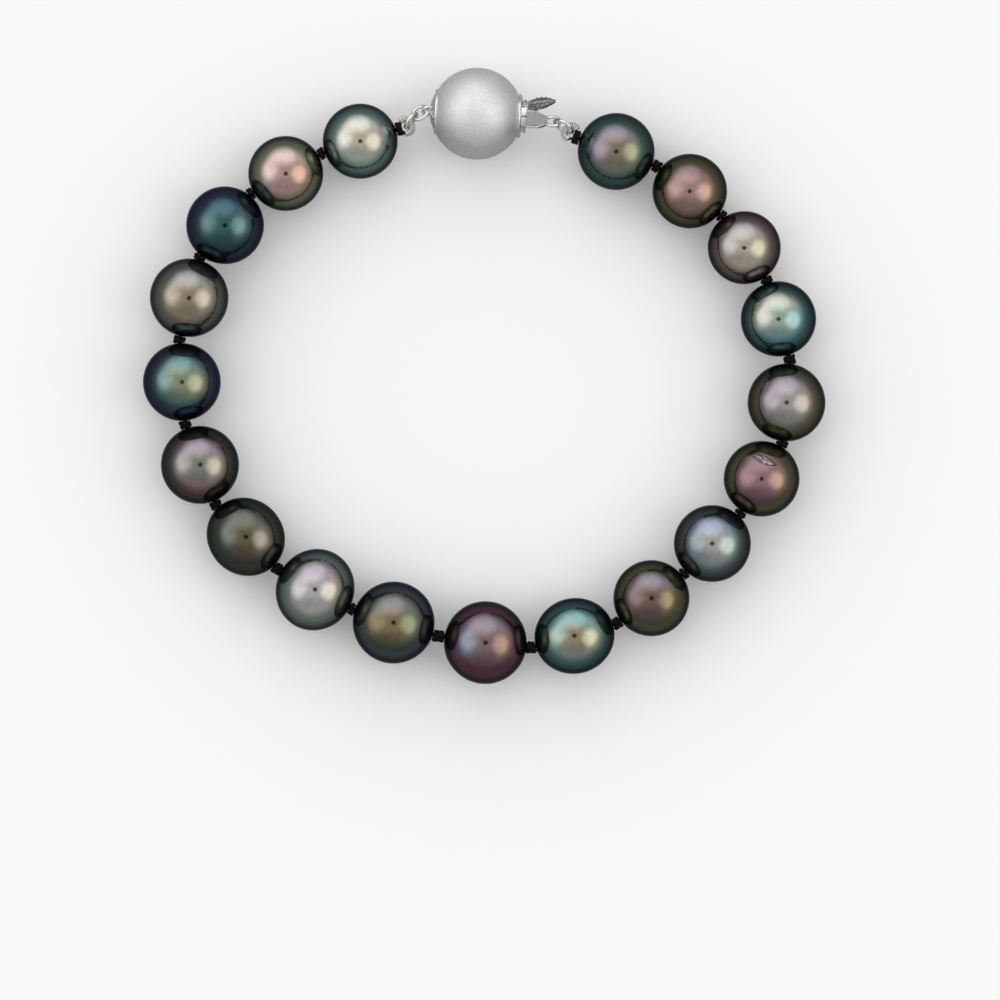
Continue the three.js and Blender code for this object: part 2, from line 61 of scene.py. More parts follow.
# Where each outer tone takes over from the middle one, on the unit sphere: painted highlight
# tints right, left and at the crown, painted shade at the base.
ZONE_RAMPS = (
    ("X", 0.10, 0.45, "Right"),
    ("X", -0.10, -0.50, "Left"),
    ("Y", 0.05, 0.50, "Crown"),
    ("Y", -0.15, -0.60, "Base"),
)
ZONE_WANDER = 0.35
MOTTLE_SHADES = (0.90, 1.06)
# Where the ring's halo and the rim's painted dark edge take over, and their painted shade.
RING_SLANTS = (0.10, 0.42)
RING_PAINTED_SHADE = 0.5
RIM_SLANTS = (0.34, 0.70)
RIM_PAINTED_SHADE = 0.32
FLAWED_PEARL = "pearl_14"
FLAW_SPOT = (0.015, 0.49, 0.85)
FLAW_TURN = math.radians(-24)
FLAW_SIZE = (0.35, 0.095, 1)
FLAW_SILVER = (0.34, 0.28, 0.30, 1)
FLAW_STREAK = (0.10, 0.07, 0.07, 1)
FLAW_OUTLINE = (0.05, 0.04, 0.04, 1)
NACRE_TONES = {
    "moon": (0.56, 0.56, 0.50),
    "blush": (0.54, 0.44, 0.41),
    "primrose": (0.46, 0.46, 0.31),
    "silver": (0.42, 0.41, 0.40),
    "cream": (0.47, 0.42, 0.33),
    "lilac": (0.40, 0.34, 0.40),
    "lavender": (0.32, 0.36, 0.46),
    "rose": (0.42, 0.27, 0.25),
    "peach": (0.48, 0.30, 0.22),
    "orchid": (0.38, 0.22, 0.25),
    "mauve": (0.32, 0.22, 0.23),
    "plum": (0.26, 0.10, 0.16),
    "wine": (0.17, 0.08, 0.11),
    "ash": (0.27, 0.28, 0.24),
    "taupe": (0.33, 0.27, 0.19),
    "bronze": (0.27, 0.17, 0.13),
    "gold": (0.38, 0.31, 0.16),
    "olive": (0.22, 0.21, 0.11),
    "pistachio": (0.38, 0.42, 0.25),
    "mint": (0.34, 0.45, 0.37),
    "aqua": (0.25, 0.43, 0.42),
    "petrol": (0.13, 0.28, 0.36),
    "teal": (0.09, 0.25, 0.22),
    "fir": (0.04, 0.16, 0.15),
    "steel": (0.24, 0.30, 0.32),
    "slate": (0.14, 0.18, 0.19),
    "navy": (0.06, 0.09, 0.16),
    "bottle": (0.09, 0.13, 0.09),
    "umber": (0.15, 0.11, 0.10),
}
# For each pearl the strength of its five lying tones, those tones, and its ring and rim; the
# crown, left and right tones hold painted highlight tints, the base tone painted shade.
PEARL_TONES = [
    (1.00, "cream", "moon", "moon", "cream", "mint", "aqua", "slate"),
    (1.00, "rose", "blush", "blush", "peach", "rose", "pistachio", "slate"),
    (0.42, "teal", "petrol", "aqua", "aqua", "fir", "navy", "navy"),
    (0.80, "taupe", "silver", "cream", "cream", "taupe", "ash", "slate"),
    (0.60, "pistachio", "aqua", "aqua", "primrose", "teal", "navy", "navy"),
    (0.75, "ash", "lilac", "silver", "cream", "mauve", "umber", "bottle"),
    (0.50, "olive", "ash", "ash", "cream", "umber", "bottle", "bottle"),
    (1.00, "silver", "lilac", "silver", "cream", "silver", "mint", "slate"),
    (0.50, "gold", "silver", "gold", "pistachio", "bottle", "slate", "navy"),
    (0.60, "mauve", "lilac", "lavender", "peach", "wine", "plum", "bottle"),
    (0.85, "taupe", "aqua", "mint", "primrose", "steel", "teal", "navy"),
    (0.60, "bronze", "lilac", "mauve", "gold", "umber", "olive", "bottle"),
    (0.90, "silver", "lavender", "steel", "mint", "steel", "slate", "umber"),
    (0.70, "orchid", "mauve", "orchid", "peach", "wine", "olive", "bottle"),
    (0.80, "silver", "lilac", "lilac", "cream", "ash", "olive", "umber"),
    (0.90, "mint", "moon", "moon", "aqua", "petrol", "teal", "navy"),
    (0.90, "cream", "silver", "silver", "primrose", "cream", "mauve", "umber"),
    (0.80, "rose", "mauve", "rose", "peach", "bronze", "olive", "bottle"),
    (0.65, "taupe", "lilac", "lilac", "pistachio", "ash", "teal", "slate"),
]


def shader_node(tree, kind, sockets=(), **settings):
    """Adds a node. A socket entry takes a value, or another node's output to link."""
    made = tree.nodes.new("ShaderNode" + kind)
    for name, value in settings.items():
        setattr(made, name, value)
    for key, value in dict(sockets).items():
        if isinstance(value, bpy.types.NodeSocket):
            tree.links.new(value, made.inputs[key])
        else:
            made.inputs[key].default_value = value
    return made


def ramp_node(tree, value, start, end, low=0.0, high=1.0):
    """A smooth step of a value from low at start to high at end."""
    sockets = {"Value": value, "From Min": start, "From Max": end, "To Min": low, "To Max": high}
    return shader_node(tree, "MapRange", sockets, interpolation_type="SMOOTHSTEP").outputs[0]


def mixed_colour(tree, factor, first, second):
    """One colour going over into another."""
    sockets = {0: factor, 6: first, 7: second}
    return shader_node(tree, "Mix", sockets, data_type="RGBA").outputs[2]


def new_material(name, values):
    """A material with its tree and its surface shader, whose own sockets take the values."""
    material = bpy.data.materials.new(name)
    material.use_nodes = True
    surface = material.node_tree.nodes["Principled BSDF"]
    for socket, value in values.items():
        surface.inputs[socket].default_value = value
    return material, material.node_tree, surface


def overtones_and_painted_light_group():
    """Overtone colour of one pearl over its unit sphere, seen from above, with painted highlight
    tints and painted shade in it, and its fine unevenness.
    """
    group = bpy.data.node_groups.new("nacre overtones", "ShaderNodeTree")
    group.interface.new_socket("Place", in_out="INPUT", socket_type="NodeSocketVector")
    for name in ZONES:
        group.interface.new_socket(name, in_out="INPUT", socket_type="NodeSocketColor")
    group.interface.new_socket("Colour", in_out="OUTPUT", socket_type="NodeSocketColor")
    group.interface.new_socket("Height", in_out="OUTPUT", socket_type="NodeSocketFloat")
    given = group.nodes.new("NodeGroupInput").outputs
    drift = shader_node(group, "TexNoise", {"Vector": given["Place"], "Scale": 1.4, "Detail": 2.0})
    centred = shader_node(
        group, "VectorMath", {0: drift.outputs["Color"], 1: (0.5, 0.5, 0.5)}, operation="SUBTRACT"
    )
    wander = shader_node(
        group, "VectorMath", {0: centred.outputs[0], "Scale": ZONE_WANDER}, operation="SCALE"
    )
    place = shader_node(group, "VectorMath", {0: given["Place"], 1: wander.outputs[0]})
    spot = shader_node(group, "SeparateXYZ", {0: place.outputs[0]}).outputs
    colour = given["Middle"]
    for axis, start, end, tone in ZONE_RAMPS:
        share = ramp_node(group, spot[axis], start, end)
        colour = mixed_colour(group, share, colour, given[tone])
    mottle = shader_node(group, "TexNoise", {"Vector": given["Place"], "Scale": 5.0, "Detail": 4.0})
    shade = ramp_node(group, mottle.outputs[0], 0.3, 0.7, *MOTTLE_SHADES)
    grown = shader_node(group, "VectorMath", {0: colour, "Scale": shade}, operation="SCALE")
    ripple = shader_node(group, "TexNoise", {"Vector": given["Place"], "Scale": 9.0, "Detail": 3.0})
    found = group.nodes.new("NodeGroupOutput").inputs
    group.links.new(grown.outputs[0], found["Colour"])
    group.links.new(ripple.outputs[0], found["Height"])
    return group


NACRE = overtones_and_painted_light_group()


def deepened(tone, share):
    """A nacre tone, darkened to a share of its strength."""
    return (*(channel * share for channel in NACRE_TONES[tone]), 1)


def nacre_material(name, tones, middle, radius):
    """One pearl's nacre, its overtone colour with painted highlight tints and shade centred on it,
    and a ring and rim darkened by painted shade where it is seen at a slant.
    """
    material, tree, surface = new_material(
        name,
        {
            "Metallic": 0.94,
            "Roughness": 0.11,
            "Specular Tint": (0.35, 0.35, 0.38, 1),
            "Coat Weight": 0.2,
            "Coat Roughness": 0.02,
            "Coat IOR": 1.4,
        },
    )
    depth, *lying, ring, rim = tones
    place = shader_node(
        tree,
        "Mapping",
        {
            "Vector": shader_node(tree, "TexCoord").outputs["Object"],
            "Location": -middle / radius,
            "Scale": (1 / radius,) * 3,
        },
    )
    given = {zone: deepened(tone, depth) for zone, tone in zip(ZONES, lying)}
    given["Place"] = place.outputs[0]
    tones_with_painted_light = shader_node(tree, "Group", given, node_tree=NACRE)
    slant = shader_node(tree, "LayerWeight", {"Blend": 0.5}).outputs["Facing"]
    colour = tones_with_painted_light.outputs["Colour"]
    # The ring's coloured halo and the rim's dark edge, both darkened here as painted shade.
    for slants, tone in (
        (RING_SLANTS, deepened(ring, RING_PAINTED_SHADE)),
        (RIM_SLANTS, deepened(rim, RIM_PAINTED_SHADE)),
    ):
        colour = mixed_colour(tree, ramp_node(tree, slant, *slants), colour, tone)
    ripple = shader_node(
        tree, "Bump", {"Strength": 0.05, "Distance": 0.0001, "Height": tones_with_painted_light.outputs["Height"]}
    )
    tree.links.new(colour, surface.inputs["Base Color"])
    tree.links.new(ripple.outputs[0], surface.inputs["Normal"])
    return material


def add_flaw(material):
    """A lens-shaped flaw in the nacre: silvery and streaked, with a thin dark outline."""
    tree = material.node_tree
    surface = tree.nodes["Principled BSDF"]
    around = shader_node(
        tree,
        "Mapping",
        {
            "Vector": tree.nodes["Mapping"].outputs[0],
            "Location": FLAW_SPOT,
            "Rotation": (0, 0, FLAW_TURN),
            "Scale": FLAW_SIZE,
        },
        vector_type="TEXTURE",
    )
    u, v, w = shader_node(tree, "SeparateXYZ", {0: around.outputs[0]}).outputs
    aside = shader_node(tree, "Math", {0: v}, operation="ABSOLUTE")
    lens = shader_node(tree, "Math", {0: u, 1: u, 2: aside.outputs[0]}, operation="MULTIPLY_ADD")
    above = ramp_node(tree, w, -0.5, -0.3)
    streaks = shader_node(
        tree, "TexNoise", {"Vector": around.outputs[0], "Scale": 2.5, "Detail": 3.0}
    )
    share = ramp_node(tree, streaks.outputs[0], 0.46, 0.60)
    silver = mixed_colour(tree, share, FLAW_STREAK, FLAW_SILVER)
    colour = surface.inputs["Base Color"].links[0].from_socket
    for start, end, tone in ((1.25, 1.08, FLAW_OUTLINE), (1.0, 0.85, silver)):
        within = ramp_node(tree, lens.outputs[0], start, end)
        inside = shader_node(tree, "Math", {0: within, 1: above}, operation="MULTIPLY")
        colour = mixed_colour(tree, inside.outputs[0], colour, tone)
    tree.links.new(colour, surface.inputs["Base Color"])


def cad_points(name):
    """Where a CAD node's points are, in the row frame."""
    return np.array([v.co for v in frame["nodes"][name].data.vertices])


def made_piece(name, shape, material):
    """Turns a finished bmesh into a smooth piece with its material."""
    mesh = bpy.data.meshes.new(name)
    shape.to_mesh(mesh)
    shape.free()
    mesh.polygons.foreach_set("use_smooth", [True] * len(mesh.polygons))
    mesh.materials.append(material)
    piece = bpy.data.objects.new(name, mesh)
    bpy.context.scene.collection.objects.link(piece)
    return piece


def spun_round(shape, axis, steps):
    """Spins all of a shape once round an axis through the origin."""
    bmesh.ops.spin(
        shape,
        geom=shape.verts[:] + shape.edges[:],
        cent=(0, 0, 0),
        axis=axis,
        angle=2 * math.pi,
        steps=steps,
        use_merge=True,
    )


def drilled_sphere(along, across, bore, seed):
    """A pearl with its bore along X: an arc and the bore's line, spun round the bore."""
    shape = bmesh.new()
    edge = math.asin(bore / across)
    bmesh.ops.spin(
        shape,
        geom=[shape.verts.new((-math.cos(edge), 0, math.sin(edge)))],
        cent=(0, 0, 0),
        axis=(0, 1, 0),
        angle=math.pi - 2 * edge,
        steps=ARC_STEPS,
    )
    bmesh.ops.scale(shape, vec=(along / 2, 1, across / 2), verts=shape.verts)
    shape.edges.new([v for v in shape.verts if len(v.link_edges) == 1])
    spun_round(shape, (1, 0, 0), ROUND_STEPS)
    bmesh.ops.recalc_face_normals(shape, faces=shape.faces)
    for v in shape.verts:
        spot = v.co / across * UNEVEN_SCALE + Vector((seed * UNEVEN_SHIFT, 0, 0))
        v.co *= 1 + UNEVENNESS * noise.noise(spot)
    return shape


def bore_frame(node, towards):
    """A pearl's middle, its bore's direction, and its sizes along and across the bore."""
    points = cad_points(node)
    middle = points.mean(axis=0)
    arms = points - middle
    direction = np.linalg.eigh(arms.T @ arms)[1][:, 2]
    direction *= np.sign(direction @ towards)
    reach = arms @ direction
    width = np.linalg.norm(arms - np.outer(reach, direction), axis=1)
    bore = 2 * width.min()
    across = 2 * width.max()
    along = 2 * reach.max() / math.cos(math.asin(bore / across))
    return Vector(middle), Vector(direction), along, across, bore


def frame_at(point, direction):
    """A place whose X axis runs along a direction, as near to level as that allows."""
    x = direction.normalized()
    y = UP.cross(x).normalized()
    return Matrix.Translation(point) @ Matrix((x, y, x.cross(y))).transposed().to_4x4()


pearl_names = [f"pearl_{i + 1:02d}" for i in range(PEARL_COUNT)]
middles = [cad_points(name).mean(axis=0) for name in pearl_names]
bores = []
for i, name in enumerate(pearl_names):
    before = middles[max(i - 1, 0)]
    after = middles[min(i + 1, PEARL_COUNT - 1)]
    middle, direction, along, across, bore = bore_frame(name, after - before)
    bores.append((middle, direction, along))
    shape = drilled_sphere(along, across, bore, i)
    bmesh.ops.transform(shape, matrix=frame_at(middle, direction), verts=shape.verts)
    nacre = nacre_material(f"nacre {i + 1:02d}", PEARL_TONES[i], middle, across / 2)
    if name == FLAWED_PEARL:
        add_flaw(nacre)
    pearl = made_piece(f"drilled_{name}", shape, nacre)
    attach(pearl, "bracelet")
    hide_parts(name)

# Silk. One black thread of three twisted plies runs through every bore and is tied in a tight
# lumpy knot in each gap and beyond both end pearls. Its ends are doubled inside the gimp loops.
FIRST_KNOT = 0.72 * MM
LAST_KNOT = 0.84 * MM
KNOT_ACROSS = 1.45 * MM
END_KNOT_ACROSS = 1.65 * MM
FACE_FALL = 0.02 * MM
KNOT_WEAVE = 0.08 * MM
KNOT_TURNS = 3
KNOT_BIGHTS = 5
KNOT_STEPS = 200
KNOT_SHIFT = 1.9
PLIES = 3
PLY_D = 0.18 * MM
PLY_SIDES = 6
PLY_LAY = 0.09 * MM
PLY_PITCH = 0.65 * MM
THREAD_D = 0.5 * MM
THREAD_SIDES = 10
WELD_DISTANCE = 1e-7
GIMP_STEPS = 300
GIMP_WIDTH = 2.4 * MM
GIMP_COIL_D = 0.76 * MM
GIMP_TIP_ROOM = 0.21 * MM
GIMP_ARC = math.radians(245)
GIMP_CLEARANCE = 0.1 * MM


def frames_along(line, side):
    """Each point of a line with two crosswise directions that turn only as the line does."""
    found = []
    for i, point in enumerate(line):
        ahead = (line[min(i + 1, len(line) - 1)] - line[max(i - 1, 0)]).normalized()
        side = (side - ahead * side.dot(ahead)).normalized()
        found.append((point, side, ahead.cross(side)))
    return found


def coiled(line, side, radius, pitch, start=0.0):
    """A coil round a line."""
    turned = []
    length = 0.0
    for i, (point, across, up) in enumerate(frames_along(line, side)):
        length += (point - line[max(i - 1, 0)]).length
        angle = start + 2 * math.pi * length / pitch
        turned.append(point + radius * (math.cos(angle) * across + math.sin(angle) * up))
    return turned


def wire_shape(lines, diameter, sides):
    """Round wires along lines of points, with closed ends."""
    curve = bpy.data.curves.new("wire", "CURVE")
    curve.dimensions = "3D"
    curve.bevel_depth = diameter / 2
    curve.bevel_resolution = (sides - 4) // 2
    curve.use_fill_caps = True
    for line in lines:
        spline = curve.splines.new("POLY")
        spline.points.add(len(line) - 1)
        for point, place in zip(spline.points, line):
            point.co = (*place, 1)
    holder = bpy.data.objects.new("wire", curve)
    bpy.context.scene.collection.objects.link(holder)
    ready = holder.evaluated_get(bpy.context.evaluated_depsgraph_get())
    mesh = bpy.data.meshes.new_from_object(ready)
    shape = bmesh.new()
    shape.from_mesh(mesh)
    bpy.data.meshes.remove(mesh)
    bpy.data.objects.remove(holder)
    bpy.data.curves.remove(curve)
    bmesh.ops.remove_doubles(shape, verts=shape.verts, dist=WELD_DISTANCE)
    bmesh.ops.recalc_face_normals(shape, faces=shape.faces)
    return shape


def knot_line(place, length, lean, across, turn):
    """A knot whose turns cross over and under, drawn tight in its gap. The gap widens as the
    pearls' faces fall away, and narrows by its lean towards the inside of the strand's bend."""
    rope = PLY_LAY + PLY_D / 2
    lift = length / 2 + FACE_FALL - rope
    reach = across / 2 - rope - KNOT_WEAVE
    line = []
    for i in range(KNOT_STEPS + 1):
        t = 2 * math.pi * i / KNOT_STEPS
        out = reach + KNOT_WEAVE * math.sin(2 * KNOT_BIGHTS * t)
        spin = KNOT_TURNS * t + turn
        y = out * math.cos(spin)
        x = (lift - lean * y) * math.sin(KNOT_BIGHTS * t)
        line.append(place @ Vector((x, y, out * math.sin(spin))))
    return line


def gimp_line(node, knot, knot_length):
    """The middle line of a gimp loop: an oval arc from the knot round the ring and back."""
    points = cad_points(node)
    place = frame_at(knot, Vector(points.mean(axis=0)) - knot)
    reach = max((place.inverted() @ Vector(p)).x for p in points)
    tip = reach - GIMP_TIP_ROOM
    foot = knot_length / 2 + GIMP_CLEARANCE
    depth = (tip - foot) / (1 - math.cos(GIMP_ARC / 2))
    half = (GIMP_WIDTH - GIMP_COIL_D) / 2
    line = []
    for i in range(GIMP_STEPS + 1):
        angle = GIMP_ARC * (0.5 - i / GIMP_STEPS)
        x = tip - depth * (1 - math.cos(angle))
        line.append(place @ Vector((x, half * math.sin(angle), 0)))
    return line, place


def silk_material():
    """Black silk with a soft sheen and fine fibres."""
    material, tree, surface = new_material(
        "black silk",
        {
            "Roughness": 0.6,
            "Specular IOR Level": 0.1,
            "Sheen Weight": 0.02,
            "Sheen Roughness": 0.4,
        },
    )
    where = shader_node(tree, "TexCoord").outputs["Object"]
    fibre = shader_node(tree, "TexNoise", {"Vector": where, "Scale": 9000.0, "Detail": 3.0})
    tint = mixed_colour(tree, fibre.outputs[0], (0.002, 0.002, 0.002, 1), (0.014, 0.010, 0.008, 1))
    height = fibre.outputs[0]
    rough = shader_node(tree, "Bump", {"Strength": 0.6, "Distance": 0.00004, "Height": height})
    tree.links.new(tint, surface.inputs["Base Color"])
    tree.links.new(rough.outputs[0], surface.inputs["Normal"])
    return material


knots = []
middle, direction, along = bores[0]
knots.append((middle - direction * (along + FIRST_KNOT) / 2, direction, FIRST_KNOT, 0.0))
for (m0, d0, along0), (m1, d1, along1) in zip(bores, bores[1:]):
    leaves = m0 + d0 * along0 / 2
    enters = m1 - d1 * along1 / 2
    lean = d0.cross(d1).z / 2
    knots.append(((leaves + enters) / 2, d0 + d1, (enters - leaves).length, lean))
middle, direction, along = bores[-1]
knots.append((middle + direction * (along + LAST_KNOT) / 2, direction, LAST_KNOT, 0.0))
gimp_left, place_left = gimp_line("gimp_left", knots[0][0], FIRST_KNOT)
gimp_right, place_right = gimp_line("gimp_right", knots[-1][0], LAST_KNOT)

ropes = []
for i, (spot, way, length, lean) in enumerate(knots):
    across = END_KNOT_ACROSS if i in (0, PEARL_COUNT) else KNOT_ACROSS
    ropes.append(knot_line(frame_at(spot, way), length, lean, across, KNOT_SHIFT * i))
ropes.append([knots[0][0], *gimp_left, knots[0][0]])
ropes.append([knots[-1][0], *gimp_right, knots[-1][0]])
plies = [
    coiled(line, UP, PLY_LAY, PLY_PITCH, 2 * math.pi * ply / PLIES)
    for line in ropes
    for ply in range(PLIES)
]
silk_shape = wire_shape(plies, PLY_D, PLY_SIDES)
thread_shape = wire_shape([[knot[0] for knot in knots]], THREAD_D, THREAD_SIDES)
black_silk = silk_material()
tied_silk = made_piece("tied_silk_knots", silk_shape, black_silk)
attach(tied_silk, "bracelet")
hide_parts("knotted_silk")
silk_thread = made_piece("silk_thread", thread_shape, black_silk)
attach(silk_thread, "bracelet")

# Gimp. A close coil of very fine bright wire is slipped over the silk where it passes round the
# end ring, so that the ring doesn't wear it. Its turns fan out round the bend.
GIMP_WIRE_D = 0.105 * MM
GIMP_WIRE_SIDES = 8
GIMP_PITCH = 0.155 * MM


def metal_wear_group():
    """Handling marks of polished metal: a rise in roughness and a faint height."""
    group = bpy.data.node_groups.new("metal wear", "ShaderNodeTree")
    group.interface.new_socket("Polish", in_out="INPUT", socket_type="NodeSocketFloat")
    group.interface.new_socket("Roughness", in_out="OUTPUT", socket_type="NodeSocketFloat")
    group.interface.new_socket("Height", in_out="OUTPUT", socket_type="NodeSocketFloat")
    given = group.nodes.new("NodeGroupInput").outputs
    where = shader_node(group, "TexCoord").outputs["Object"]
    smear = shader_node(group, "TexNoise", {"Vector": where, "Scale": 900.0, "Detail": 4.0})
    marks = ramp_node(group, smear.outputs[0], 0.35, 0.75, 0.0, 0.12)
    roughness = shader_node(group, "Math", {0: given["Polish"], 1: marks}, operation="ADD")
    fine = shader_node(group, "TexNoise", {"Vector": where, "Scale": 6000.0, "Detail": 2.0})
    found = group.nodes.new("NodeGroupOutput").inputs
    group.links.new(roughness.outputs[0], found["Roughness"])
    group.links.new(fine.outputs[0], found["Height"])
    return group


METAL_WEAR = metal_wear_group()


def metal_material(name, colour, polish, relief):
    """A bright metal with light handling marks."""
    material, tree, surface = new_material(name, {"Base Color": (*colour, 1), "Metallic": 1.0})
    wear = shader_node(tree, "Group", {"Polish": polish}, node_tree=METAL_WEAR)
    uneven = shader_node(
        tree, "Bump", {"Strength": relief, "Distance": 0.00002, "Height": wear.outputs["Height"]}
    )
    tree.links.new(wear.outputs["Roughness"], surface.inputs["Roughness"])
    tree.links.new(uneven.outputs[0], surface.inputs["Normal"])
    return material


gimp_wire = metal_material("gimp wire", (0.95, 0.91, 0.84), 0.12, 0.1)
for name, line, place in (
    ("gimp_left", gimp_left, place_left),
    ("gimp_right", gimp_right, place_right),
):
    upright = place.to_3x3() @ UP
    coil = coiled(line, upright, (GIMP_COIL_D - GIMP_WIRE_D) / 2, GIMP_PITCH)
    shape = wire_shape([coil], GIMP_WIRE_D, GIMP_WIRE_SIDES)
    gimp = made_piece(f"{name}_coil", shape, gimp_wire)
    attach(gimp, "bracelet")
    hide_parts(name)

# Jump rings. Three round rings of polished white wire, bent closed and soldered: one in the
# ball's eye, one in each gimp loop. The right one also passes through the tongue's eye.
RING_WIRE_D = 0.36 * MM
WIRE_STEPS = 16
RING_STEPS = 64


def turn_over(shape, axis, angle=math.pi / 2):
    """Turns a shape about an axis through the origin."""
    turn = Matrix.Rotation(angle, 3, axis)
    bmesh.ops.rotate(shape, cent=(0, 0, 0), matrix=turn, verts=shape.verts)


def round_ring(outer, wire):
    """A closed ring of round wire in the XY plane."""
    shape = bmesh.new()
    bmesh.ops.create_circle(shape, segments=WIRE_STEPS, radius=wire / 2)
    turn_over(shape, "X")
    bmesh.ops.translate(shape, vec=((outer - wire) / 2, 0, 0), verts=shape.verts)
    spun_round(shape, (0, 0, 1), RING_STEPS)
    bmesh.ops.recalc_face_normals(shape, faces=shape.faces)
    return shape


polished = metal_material("polished white metal", (0.78, 0.78, 0.77), 0.05, 0.05)
for name in ("clasp_ring", "strand_ring_left", "strand_ring_right"):
    points = cad_points(name)
    middle = points.mean(axis=0)
    arms = points - middle
    axis = Vector(np.linalg.eigh(arms.T @ arms)[1][:, 0])
    flat = arms - np.outer(arms @ np.array(axis), np.array(axis))
    shape = round_ring(2 * np.linalg.norm(flat, axis=1).max(), RING_WIRE_D)
    turn = UP.rotation_difference(axis).to_matrix().to_4x4()
    bmesh.ops.transform(shape, matrix=Matrix.Translation(middle) @ turn, verts=shape.verts)
    ring = made_piece(f"{name}_wire", shape, polished)
    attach(ring, "bracelet")
    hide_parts(name)

# Ball. A hollow ball of white metal with a frosted skin, and soldered to it a polished end cap
# with a wire eye on the left and a polished, slotted collar on the right. Sizes are in
# millimetres in the clasp's own frame, with x along its axis and z towards the press.
BALL_R = 5.0
BALL_WALL = 0.5
CAP_R = 2.3
CAP_TIP_X = 5.1
EYE_D = 1.5
EYE_WIRE_D = 0.36
EYE_X = 5.31
COLLAR_FACE_X = 5.4
COLLAR_FACE_R = 1.8
COLLAR_NECK_R = 1.68
SEAT_X = math.sqrt(BALL_R**2 - CAP_R**2)
SEAT_DEPTH = 0.35
BEAD_D = 0.3
FOLD_X = -3.0
FOLD_Z = 0.2
TURN_STEPS = 96
BALL_STEPS = 64
WELD_GAP = 1e-5
SHARP_ANGLE = 35

press_joint = frame["joints"][0]
clasp_y = Vector(press_joint["axis"]).normalized()
clasp_x = clasp_y.cross(UP).normalized()
clasp_z = clasp_x.cross(clasp_y)
ball_middle = Vector(press_joint["pos_m"]) - (clasp_x * FOLD_X + clasp_z * FOLD_Z) * MM
CLASP = (
    Matrix.Translation(ball_middle)
    @ Matrix((clasp_x, clasp_y, clasp_z)).transposed().to_4x4()
    @ Matrix.Scale(MM, 4)
)


def turned_shape(profile):
    """A shape turned about X from x, radius points. The line closes on itself or on the axis."""
    shape = bmesh.new()
    points = [shape.verts.new((x, 0, radius)) for x, radius in profile]
    for a, b in zip(points, points[1:]):
        shape.edges.new((a, b))
    if profile[0][1] and profile[-1][1]:
        shape.edges.new((points[-1], points[0]))
    spun_round(shape, (1, 0, 0), TURN_STEPS)
    bmesh.ops.remove_doubles(shape, verts=shape.verts, dist=WELD_GAP)
    bmesh.ops.recalc_face_normals(shape, faces=shape.faces)
    return shape


def joined_shapes(*shapes):
    """Puts the meshes of several shapes into the first."""
    for shape in shapes[1:]:
        mesh = bpy.data.meshes.new("joined")
        shape.to_mesh(mesh)
        shapes[0].from_mesh(mesh)
        shape.free()
        bpy.data.meshes.remove(mesh)
    return shapes[0]


def clasp_piece(name, shape, material, sharp=SHARP_ANGLE):
    """A piece of the clasp, moved from the clasp's frame to its place."""
    bmesh.ops.transform(shape, matrix=CLASP, verts=shape.verts)
    piece = made_piece(name, shape, material)
    piece.data.set_sharp_from_angle(angle=math.radians(sharp))
    return piece


def softened(piece, width):
    """Takes the edge off sharp corners."""
    bevel = piece.modifiers.new("softened edges", "BEVEL")
    bevel.width = width * MM
    bevel.segments = 2
    bevel.limit_method = "ANGLE"
    bevel.angle_limit = math.radians(SHARP_ANGLE)


def frosted_material():
    """White metal with a fine blasted grain."""
    material, tree, surface = new_material("frosted white metal", {"Metallic": 1.0})
    where = shader_node(tree, "TexCoord").outputs["Object"]
    grain = shader_node(tree, "TexNoise", {"Vector": where, "Scale": 9000.0, "Detail": 3.0})
    cloud = shader_node(tree, "TexNoise", {"Vector": where, "Scale": 700.0, "Detail": 5.0})
    tint = mixed_colour(
        tree,
        ramp_node(tree, grain.outputs[0], 0.3, 0.7),
        (0.64, 0.64, 0.64, 1),
        (0.84, 0.84, 0.84, 1),
    )
    rough = ramp_node(tree, cloud.outputs[0], 0.3, 0.7, 0.52, 0.60)
    blasted = shader_node(
        tree, "Bump", {"Strength": 0.4, "Distance": 0.00002, "Height": grain.outputs[0]}
    )
    tree.links.new(tint, surface.inputs["Base Color"])
    tree.links.new(rough, surface.inputs["Roughness"])
    tree.links.new(blasted.outputs[0], surface.inputs["Normal"])
    return material


ball = bmesh.new()
bmesh.ops.create_uvsphere(ball, u_segments=TURN_STEPS, v_segments=BALL_STEPS, radius=BALL_R)
turn_over(ball, "Y")
for side in (-1, 1):
    bmesh.ops.bisect_plane(
        ball,
        geom=ball.verts[:] + ball.edges[:] + ball.faces[:],
        plane_co=(side * SEAT_X, 0, 0),
        plane_no=(side, 0, 0),
        clear_outer=True,
    )
ball_skin = clasp_piece("ball_skin", ball, frosted_material())
wall = ball_skin.modifiers.new("wall", "SOLIDIFY")
wall.thickness = BALL_WALL * MM
wall.offset = -1
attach(ball_skin, "bracelet")
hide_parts("clasp_ball")


def bead(x, radius):
    """A raised wire bead round the axis."""
    shape = round_ring(2 * radius + BEAD_D, BEAD_D)
    turn_over(shape, "Y")
    bmesh.ops.translate(shape, vec=(x, 0, 0), verts=shape.verts)
    return shape


cap_profile = [
    (-CAP_TIP_X, 0),
    (-CAP_TIP_X, 0.60),
    (-CAP_TIP_X + 0.03, 0.85),
    (-CAP_TIP_X + 0.16, 1.30),
    (-CAP_TIP_X + 0.36, 1.75),
    (-SEAT_X - 0.06, CAP_R - 0.06),
    (-SEAT_X + SEAT_DEPTH, CAP_R - 0.10),
    (-SEAT_X + SEAT_DEPTH, 0),
]
eye = round_ring(EYE_D, EYE_WIRE_D)
turn_over(eye, "X")
bmesh.ops.translate(eye, vec=(-EYE_X, 0, 0), verts=eye.verts)
end_cap = clasp_piece(
    "end_cap_and_eye",
    joined_shapes(turned_shape(cap_profile), bead(-SEAT_X - 0.02, CAP_R), eye),
    polished,
)
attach(end_cap, "bracelet")

